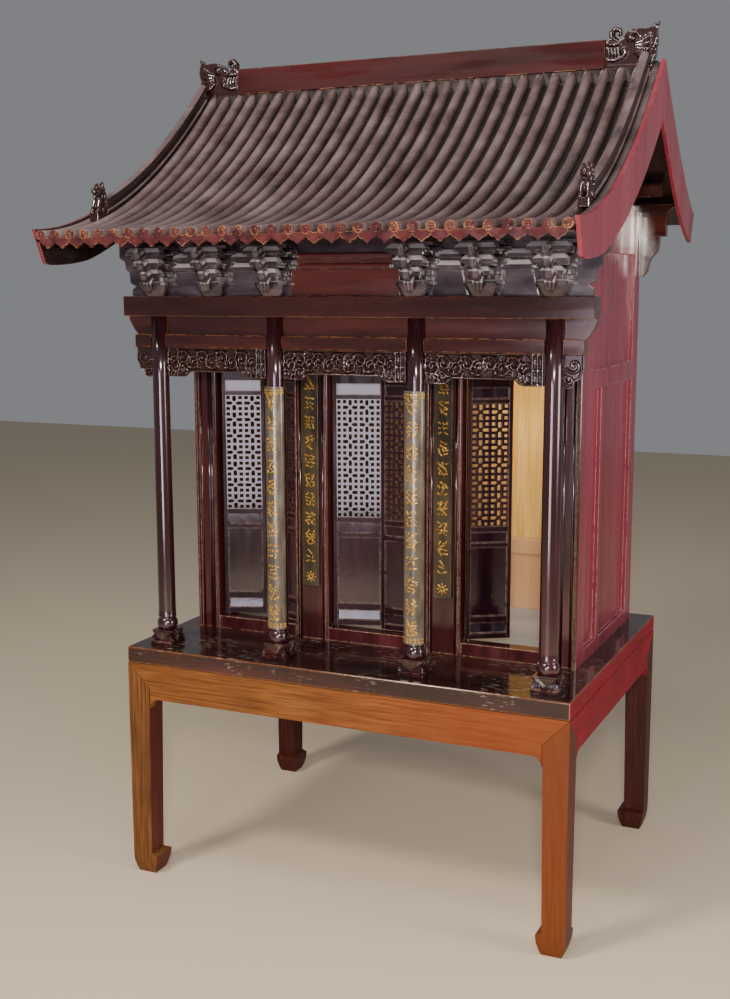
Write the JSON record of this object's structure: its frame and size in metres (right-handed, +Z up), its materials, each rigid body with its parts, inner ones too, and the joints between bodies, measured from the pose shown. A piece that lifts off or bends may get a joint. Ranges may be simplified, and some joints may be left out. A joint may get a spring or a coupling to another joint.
{
  "type": "household altar cabinet",
  "caption": "Temple-shaped wooden altar cabinet: a columned porch with carved frets and pivoting lattice leaves under a swept tiled roof, on a low table stand with hoof feet.",
  "frame": {"origin": "on the floor under the middle of the outline, which is the middle of the roof", "axes": "+Z up; +Y to the back, so the porch and the leaves face -Y; +X to the right of someone facing the porch"},
  "size_m": [1.2684, 1.144, 2.108],
  "materials": {
    "dark_lacquer": "old brown-black gloss lacquer, worn orange-brown along its edges",
    "red_lacquer": "dark crimson-brown gloss lacquer",
    "tile_lacquer": "dulled purplish brown lacquer, worn orange-brown on the tile ends",
    "honey_wood": "satin honey-brown stained wood",
    "couplet_lacquer": "dark green-grey lacquer with gilt strokes",
    "raw_wood": "unlacquered pale yellow wood"
  },
  "bodies": {
    "cabinet": {"apron_back": "honey_wood", "apron_front": "honey_wood", "apron_left": "honey_wood", "apron_right": "honey_wood", "back_wall": "raw_wood", "barge_back_left": "red_lacquer", "barge_back_right": "red_lacquer", "barge_front_left": "red_lacquer", "barge_front_right": "red_lacquer", "bracket_backing": "dark_lacquer", "bracket_cluster_left_inner": "dark_lacquer", "bracket_cluster_left_middle": "dark_lacquer", "bracket_cluster_left_outer": "dark_lacquer", "bracket_cluster_right_inner": "dark_lacquer", "bracket_cluster_right_middle": "dark_lacquer", "bracket_cluster_right_outer": "dark_lacquer", "carved_fret_left": "dark_lacquer", "carved_fret_middle": "dark_lacquer", "carved_fret_right": "dark_lacquer", "ceiling_board": "dark_lacquer", "column_far_left": "dark_lacquer", "column_far_right": "dark_lacquer", "column_near_left": "dark_lacquer", "column_near_right": "dark_lacquer", "couplet_board_left": "couplet_lacquer", "couplet_board_right": "couplet_lacquer", "couplet_sleeve_left": "couplet_lacquer", "couplet_sleeve_right": "couplet_lacquer", "descending_ridge_left": "tile_lacquer", "descending_ridge_right": "tile_lacquer", "door_head": "dark_lacquer", "door_sill_left": "red_lacquer", "door_sill_middle": "red_lacquer", "door_sill_right": "red_lacquer", "end_bracket_left": "dark_lacquer", "end_bracket_right": "dark_lacquer", "frieze_board": "dark_lacquer", "leg_back_left": "honey_wood", "leg_back_right": "honey_wood", "leg_front_left": "honey_wood", "leg_front_right": "honey_wood", "lintel": "dark_lacquer", "middle_post_left": "red_lacquer", "middle_post_right": "red_lacquer", "platform_board": "dark_lacquer", "purlin_lower": "dark_lacquer", "purlin_upper": "dark_lacquer", "ridge_beam": "dark_lacquer", "ridge_dragon_left": "dark_lacquer", "ridge_dragon_right": "dark_lacquer", "roof_back": "red_lacquer", "roof_front": "tile_lacquer", "side_wall_left": "red_lacquer", "side_wall_right": "red_lacquer"},
    "left_bay_left_leaf": {"door_left_bay_left": "red_lacquer"},
    "left_bay_right_leaf": {"door_left_bay_right": "red_lacquer"},
    "middle_bay_left_leaf": {"door_middle_bay_left": "red_lacquer"},
    "middle_bay_right_leaf": {"door_middle_bay_right": "red_lacquer"},
    "right_bay_left_leaf": {"door_right_bay_left": "red_lacquer"},
    "right_bay_right_leaf": {"door_right_bay_right": "red_lacquer"}
  },
  "joints": [
    {"name": "left_bay_left_hinge", "type": "hinge", "parent": "cabinet", "child": "left_bay_left_leaf", "pos_m": [-0.445, -0.049, 0.966], "axis": [0, 0, 1], "range_deg": [-22, 73]},
    {"name": "left_bay_right_hinge", "type": "hinge", "parent": "cabinet", "child": "left_bay_right_leaf", "pos_m": [-0.236, -0.049, 0.966], "axis": [0, 0, 1], "range_deg": [-70, 25]},
    {"name": "middle_bay_left_hinge", "type": "hinge", "parent": "cabinet", "child": "middle_bay_left_leaf", "pos_m": [-0.123, -0.049, 0.966], "axis": [0, 0, 1], "range_deg": [-18, 77]},
    {"name": "middle_bay_right_hinge", "type": "hinge", "parent": "cabinet", "child": "middle_bay_right_leaf", "pos_m": [0.123, -0.049, 0.966], "axis": [0, 0, 1], "range_deg": [-92, 3]},
    {"name": "right_bay_left_hinge", "type": "hinge", "parent": "cabinet", "child": "right_bay_left_leaf", "pos_m": [0.236, -0.049, 0.966], "axis": [0, 0, 1], "range_deg": [-32, 63]},
    {"name": "right_bay_right_hinge", "type": "hinge", "parent": "cabinet", "child": "right_bay_right_leaf", "pos_m": [0.445, -0.049, 0.966], "axis": [0, 0, 1], "range_deg": [-15, 80]}
  ]
}
